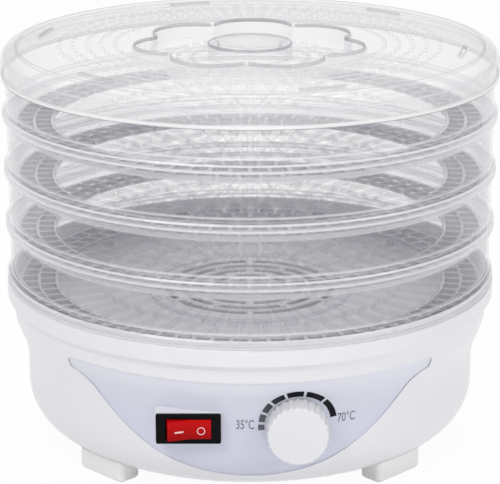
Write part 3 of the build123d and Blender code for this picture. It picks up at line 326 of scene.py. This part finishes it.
# Tray walls: two lines of painted highlight where the lip swells out, a thin one at its foot, painted shade in
# the crease between the lines, a milky rim
wallMarks = {"foot": 0.109, "pitch": 0.036, "outside": (0.1556, 0.1562), "footLine": (0.0004, 0.0009),
             "lines": [(0.0042, 0.0050), (0.0080, 0.0086)], "lineSoft": 0.0004, "secondShare": 0.7,
             "crease": (0.0058, 0.0066), "creaseSoft": 0.0006, "creaseShade": 0.8, "rim": (0.0343, 0.0351)}
wallVeil = {"lines": 0.60, "foot": 0.40, "crease": 0.14, "rim": 0.2}


def trayWall():
    finish = ClearFinish("trayWall")
    level = (finish.z - wallMarks["foot"]) % wallMarks["pitch"]
    outside = finish.ramp(finish.radius(), *wallMarks["outside"])
    first, second = (finish.band(level, *line, wallMarks["lineSoft"]) for line in wallMarks["lines"])
    marks = {
        "lines": (first + wallMarks["secondShare"] * second) * outside,
        "foot": (1 - finish.ramp(level, *wallMarks["footLine"])) * outside,
        "crease": finish.band(level, *wallMarks["crease"], wallMarks["creaseSoft"]) * outside,
        "rim": finish.ramp(level, *wallMarks["rim"]),
    }
    alpha = finish.veil
    for mark, dense in wallVeil.items():
        alpha = alpha + dense * marks[mark]
    # the lip lines and the foot line are painted highlights, the crease band is painted shade
    return finish.final(alpha, wallMarks["creaseShade"] * marks["crease"], marks["lines"] + marks["foot"])


# Tray floors: rings of slots from the edge inwards with painted shade along their edges, and a milky zone round
# the edge with a painted highlight
floorRings = [
    {"count": 72, "length": 0.0093, "middle": 0.14585, "width": 0.00962, "turn": 0.0, "margin": 0.0009},
    {"count": 72, "length": 0.0093, "middle": 0.13435, "width": 0.00862, "turn": 2.5, "margin": 0.0009},
    {"count": 48, "length": 0.0260, "middle": 0.11450, "width": 0.01059, "turn": 0.0, "margin": 0.0010},
    {"count": 36, "length": 0.0260, "middle": 0.08630, "width": 0.01009, "turn": 5.0, "margin": 0.0010},
    {"count": 24, "length": 0.0260, "middle": 0.05810, "width": 0.00911, "turn": 0.0, "margin": 0.0010},
    {"count": 12, "length": 0.0260, "middle": 0.02990, "width": 0.00615, "turn": 15.0, "margin": 0.0010},
]
floorVeil = {"zone": (0.1265, 0.1290), "zoneDense": 0.36, "edge": 0.10, "zoneEdge": 0.22, "edgeShade": 0.85}


def trayFloor():
    finish = ClearFinish("trayFloor")
    across = finish.radius()
    zone = finish.ramp(across, *floorVeil["zone"])
    edge = finish.place.maths("MINIMUM", finish.slotEdges(across, finish.bearing(), floorRings), 1.0)
    edgeVeil = (floorVeil["edge"] + floorVeil["zoneEdge"] * zone) * edge
    alpha = finish.veil + floorVeil["zoneDense"] * zone + edgeVeil
    # the zone takes the painted highlight colour, the slot edges the painted shade colour
    return finish.final(alpha, edge * floorVeil["edgeShade"], zone)


# Lid: grey lines of painted shade round the recess, the handle, the slots, the shoulder and the skirt's foot,
# and a painted highlight on the hem
ventRings = [(72, 0.087 + 0.009 * k) for k in range(5)] + [(36, 0.038 + 0.009 * k) for k in range(3)]
lidVents = [{"count": count, "length": 0.0026, "middle": middle, "width": 0.0052, "turn": 0.0,
             "margin": 0.0008} for count, middle in ventRings]
lidTabs = {"count": 6, "length": 0.0024, "middle": 0.138, "width": 0.0289, "turn": -12.0, "margin": 0.0010}
lidMarks = {"lobes": 7, "turn": 88.0, "circle": 0.048, "lobe": 0.027, "top": (0.2595, 0.2600),
            "flower": (0.0, 0.0005), "handle": (0.0268, 0.0276), "lineSoft": 0.0005,
            "hem": (0.2436, 0.2452), "hemSoft": 0.0004, "foot": (0.2432, 0.2436),
            "shoulder": (0.1500, 0.1512), "shoulderSoft": 0.0010}
lidVeil = {"vents": 0.08, "tabs": 0.6, "shoulder": 0.5, "hem": 0.50, "lines": 0.34, "lineShade": 0.9}


def lidTop():
    finish = ClearFinish("lidTop")
    across = finish.radius()
    angle = finish.bearing()
    fold = finish.place.maths("COSINE", finish.sector(angle, lidMarks["lobes"], lidMarks["turn"]))
    circle = lidMarks["circle"]
    reach = (across * across + circle**2 - 2 * circle * across * fold) ** 0.5 - lidMarks["lobe"]
    high = finish.ramp(finish.z, *lidMarks["top"])
    flower = finish.band(reach, *lidMarks["flower"], lidMarks["lineSoft"]) * high
    handle = finish.band(across, *lidMarks["handle"], lidMarks["lineSoft"]) * high
    vents = finish.slotEdges(across, angle, lidVents)
    tabs = finish.slotEdge(across, angle, lidTabs)
    hem = finish.band(finish.z, *lidMarks["hem"], lidMarks["hemSoft"])
    foot = 1 - finish.ramp(finish.z, *lidMarks["foot"])
    shoulder = finish.band(across, *lidMarks["shoulder"], lidMarks["shoulderSoft"]) * high
    lines = flower + handle + lidVeil["vents"] * vents + lidVeil["tabs"] * tabs
    lines = finish.place.maths("MINIMUM", lines + shoulder * lidVeil["shoulder"] + foot, 1.0)
    alpha = finish.veil + lidVeil["hem"] * hem + lidVeil["lines"] * lines
    # the lines take the painted shade colour, the hem the painted highlight colour
    return finish.final(alpha, lidVeil["lineShade"] * lines, hem)


# Metals inside the base
metalSkin = {"grain": (1.0, 3.0, 0.6), "dirt": (70.0, 4.0, 0.65), "dirtShade": 0.55, "dirtRough": 0.18,
             "relief": (0.12, 0.0001)}
metalLook = {
    "zincSteel": {"colour": (0.60, 0.61, 0.62), "rough": 0.30, "grain": (40, 40, 900), "dirt": 0.20},
    "sheetSteel": {"colour": (0.55, 0.56, 0.58), "rough": 0.36, "grain": (120, 120, 40), "dirt": 0.30},
    "coreSteel": {"colour": (0.22, 0.22, 0.23), "rough": 0.46, "grain": (10, 10, 2200), "dirt": 0.45},
    "heaterAlloy": {"colour": (0.24, 0.21, 0.19), "rough": 0.48, "grain": (300, 300, 300), "dirt": 0.45},
    "bronzeBush": {"colour": (0.46, 0.27, 0.10), "rough": 0.42, "grain": (600, 600, 600), "dirt": 0.35},
    "terminalBrass": {"colour": (0.62, 0.46, 0.20), "rough": 0.28, "grain": (60, 800, 60), "dirt": 0.20},
}


def bareMetal(name):
    look = metalLook[name]
    finish = Finish(name)
    grain = finish.noise(*metalSkin["grain"], look["grain"])
    dirt = finish.noise(*metalSkin["dirt"])
    soiled = tint(look["colour"], metalSkin["dirtShade"])
    finish.set(Base_Color=finish.blend(dirt * look["dirt"], solid(look["colour"]), soiled),
               Roughness=look["rough"] + metalSkin["dirtRough"] * dirt * grain,
               Normal=finish.bump(grain, *metalSkin["relief"]))
    finish.set(Metallic=1.0)
    return finish.material


# Winding: turns of lacquered wire side by side along the bobbin, with painted shade in the grooves between
# turns
windingLook = {"wire": 0.0009, "copper": (0.50, 0.17, 0.055), "shadedGap": (0.10, 0.028, 0.012),
               "speck": (400.0, 2.0), "rough": (0.30, 0.14), "relief": (0.5, 0.0004), "metal": 0.85,
               "coat": 0.4}


def windingCopper():
    finish = Finish("windingCopper")
    phase = finish.x * (2 * math.pi / windingLook["wire"])
    turns = 0.5 + 0.5 * finish.place.maths("SINE", phase)
    speck = finish.noise(*windingLook["speck"])
    least, more = windingLook["rough"]
    # painted shade: the copper darkens between the turns
    finish.set(Base_Color=finish.blend(turns, solid(windingLook["shadedGap"]), solid(windingLook["copper"])),
               Roughness=least + more * speck, Normal=finish.bump(turns, *windingLook["relief"]))
    finish.set(Metallic=windingLook["metal"], Coat_Weight=windingLook["coat"])
    return finish.material


finishes = {name: mouldedPlastic(name) for name in plasticLook}
finishes.update({name: bareMetal(name) for name in metalLook})
for maker in (panelFilm, markInk, labelInk, rockerRed, symbolInk, trayWall, trayFloor, lidTop, windingCopper):
    material = maker()
    finishes[material.name] = material

# Which nodes wear which finish
dressing = {
    "housing": ["base_housing", "base_rim", "bottom_cover", "base_deck", "top_grille"],
    "feet": ["feet"],
    "knob": ["temperature_knob"],
    "panelFilm": ["control_panel"],
    "markInk": ["scale_marks"],
    "bezel": ["switch_body"],
    "rockerRed": ["switch_rocker"],
    "lidTop": ["lid", "lid_pan", "lid_handle"],
    "trayWall": ["tray_1", "tray_2", "tray_3", "tray_4"],
    "trayFloor": ["tray_1_floor", "tray_2_floor", "tray_3_floor", "tray_4_floor"],
    "zincSteel": ["cover_screws", "deck_screws", "strap_screws", "motor_screws", "motor_nuts",
                  "motor_bracket_upper", "motor_bracket_lower", "motor_shaft", "thermostat_frame",
                  "thermostat_shaft"],
    "sheetSteel": ["motor_strap", "heat_shield", "thermal_fuse"],
    "coreSteel": ["motor_stator", "motor_rotor"],
    "micaBoard": ["heater_boards"],
    "heaterAlloy": ["heater_wire"],
    "bobbinCream": ["motor_bobbin"],
    "windingCopper": ["motor_winding"],
    "bronzeBush": ["motor_bearings"],
    "fanBlack": ["fan_impeller"],
    "terminalBrass": ["switch_terminals", "thermostat_terminals", "thermostat_nut"],
    "ceramicBlock": ["thermostat_block"],
    "glandGrey": ["cord_gland"],
    "sleeveWhite": ["internal_wiring"],
}
dressed = set()
for finishName, wearers in dressing.items():
    for name in wearers:
        piece = nodes[name]
        piece.data.materials.clear()
        piece.data.materials.append(finishes[finishName])
        dressed.add(name)
print("finishes on", len(dressed), "nodes, without one:", sorted(set(nodes) - dressed))


def onlySelect(piece):
    bpy.ops.object.select_all(action="DESELECT")
    piece.select_set(True)
    bpy.context.view_layer.objects.active = piece


def standOn(piece, node, place, scale, lift):
    # turns a flat piece to the front, puts its place into the mesh and presses it onto a node's surface
    piece.scale = scale
    piece.rotation_euler = (math.radians(90), 0, 0)
    piece.location = place
    onlySelect(piece)
    bpy.ops.object.transform_apply(location=True, rotation=True, scale=True)
    wrap = piece.modifiers.new("wrap", "SHRINKWRAP")
    wrap.target = nodes[node]
    wrap.wrap_method = "PROJECT"
    wrap.use_project_x = False
    wrap.use_project_y = True
    wrap.use_project_z = False
    wrap.use_positive_direction = True
    wrap.use_negative_direction = True
    wrap.offset = lift
    bpy.ops.object.modifier_apply(modifier="wrap")


# Scale ends: two printed readings beside the knob
labels = [
    {"name": "labelLow", "text": "35°C", "x": -0.0030, "z": 0.0557},
    {"name": "labelHigh", "text": "70°C", "x": 0.0590, "z": 0.0562},
]
labelSize = {"height": 0.0085, "squeeze": 0.64, "lift": 0.00008, "front": -0.155, "curveSteps": 6}

for label in labels:
    bpy.ops.object.text_add(location=(0, 0, 0))
    letters = bpy.context.object
    letters.name = label["name"]
    letters.data.body = label["text"]
    letters.data.size = labelSize["height"]
    letters.data.align_x = "CENTER"
    letters.data.align_y = "CENTER"
    letters.data.resolution_u = labelSize["curveSteps"]
    bpy.ops.object.convert(target="MESH")
    letters = bpy.context.object
    place = (label["x"], labelSize["front"], label["z"])
    standOn(letters, "control_panel", place, (labelSize["squeeze"], 1, 1), labelSize["lift"])
    letters.data.materials.append(finishes["labelInk"])
    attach(letters, "base")
print("scale readings on the panel")

# Rocker signs: a bar on the raised end and a ring on the other
signs = {"bar": (0.0052, 0.0011), "barCells": (8, 2), "barX": -0.0429, "ring": 0.0025, "ringWall": 0.00055,
         "ringSteps": 48, "ringX": -0.0296, "z": 0.0538, "lift": 0.00006, "front": -0.165}

cellsAlong, cellsAcross = signs["barCells"]
bpy.ops.mesh.primitive_grid_add(x_subdivisions=cellsAlong, y_subdivisions=cellsAcross, size=1,
                                location=(0, 0, 0))
onBar = bpy.context.object
onBar.name = "signOn"
place = (signs["barX"], signs["front"], signs["z"])
standOn(onBar, "switch_rocker", place, (*signs["bar"], 1), signs["lift"])

bpy.ops.mesh.primitive_circle_add(vertices=signs["ringSteps"], radius=signs["ring"], fill_type="NOTHING",
                                  location=(0, 0, 0))
offRing = bpy.context.object
offRing.name = "signOff"
bpy.ops.object.mode_set(mode="EDIT")
bpy.ops.mesh.select_all(action="SELECT")
bpy.ops.mesh.extrude_region_move()
shrink = 1 - signs["ringWall"] / signs["ring"]
bpy.ops.transform.resize(value=(shrink, shrink, 1))
bpy.ops.object.mode_set(mode="OBJECT")
place = (signs["ringX"], signs["front"], signs["z"])
standOn(offRing, "switch_rocker", place, (1, 1, 1), signs["lift"])

for sign in (onBar, offRing):
    sign.data.materials.append(finishes["symbolInk"])
    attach(sign, "rocker")
print("signs on the rocker")

# Studio: white floor and sky, big soft lamps and the camera at the photograph's angle
studio = {"size": 12, "drop": 0.0002, "floor": (0.90, 0.90, 0.90), "floorRough": 0.9, "floorGlow": 0.95,
          "world": 0.42, "aim": (0, 0, 0.13), "clearLayers": 64}

bpy.ops.mesh.primitive_plane_add(size=studio["size"], location=(0, 0, -studio["drop"]))
floor = bpy.context.object
floor.name = "studioFloor"
floorFinish = Finish("studioFloorPale")
floorFinish.set(Base_Color=solid(studio["floor"]), Roughness=studio["floorRough"])


def seenBy(tree, kinds):
    # 1 for rays of any of these kinds, 0 for all others
    rays = tree.nodes.new("ShaderNodeLightPath")
    first, *others = (Flow(tree, rays.outputs["Is " + kind + " Ray"]) for kind in kinds)
    for other in others:
        first = first.maths("MAXIMUM", first, other)
    return first


tree = floorFinish.material.node_tree
seen = seenBy(tree, ["Camera", "Glossy", "Transmission"])
glow = tree.nodes.new("ShaderNodeEmission")
mix = tree.nodes.new("ShaderNodeMixShader")
tree.links.new((seen * studio["floorGlow"]).socket, mix.inputs[0])
tree.links.new(floorFinish.shader.outputs[0], mix.inputs[1])
tree.links.new(glow.outputs[0], mix.inputs[2])
tree.links.new(mix.outputs[0], floorFinish.output.inputs[0])
floor.data.materials.append(floorFinish.material)

world = bpy.data.worlds.new("studioWorld")
bpy.context.scene.world = world
world.use_nodes = True
sky = world.node_tree
background = sky.nodes["Background"]
background.inputs["Color"].default_value = (1, 1, 1, 1)
seenSky = seenBy(sky, ["Camera", "Transmission"])
strength = studio["world"] + (1 - studio["world"]) * seenSky
sky.links.new(strength.socket, background.inputs["Strength"])

lamps = [
    {"name": "lampKey", "at": (-0.9, -1.1, 1.5), "size": 0.9, "power": 12.0},
    {"name": "lampFill", "at": (1.2, -1.0, 0.9), "size": 1.0, "power": 6.0},
    {"name": "lampTop", "at": (0.1, 0.35, 1.7), "size": 1.1, "power": 9.0},
    {"name": "lampLow", "at": (0.1, -1.5, 0.16), "size": 0.9, "power": 2.6},
    {"name": "lampBack", "at": (0.3, 1.1, 1.6), "size": 1.2, "power": 4.0},
]
for lamp in lamps:
    bpy.ops.object.light_add(type="AREA", location=lamp["at"])
    light = bpy.context.object
    light.name = lamp["name"]
    light.data.size = lamp["size"]
    light.data.energy = lamp["power"]
    light.rotation_euler = (Vector(studio["aim"]) - Vector(lamp["at"])).to_track_quat("-Z", "Y").to_euler()

view = {"at": (0.0, -1.314, 0.5368), "tilt": 17.36, "lens": 149.1, "sensor": 36}
bpy.ops.object.camera_add(location=view["at"], rotation=(math.radians(90 - view["tilt"]), 0, 0))
camera = bpy.context.object
camera.name = "photoCamera"
camera.data.sensor_width = view["sensor"]
camera.data.sensor_fit = "HORIZONTAL"
camera.data.lens = view["lens"]
bpy.context.scene.camera = camera
bpy.context.scene.view_settings.view_transform = "Standard"
bpy.context.scene.cycles.transparent_max_bounces = studio["clearLayers"]
print("studio and camera placed")
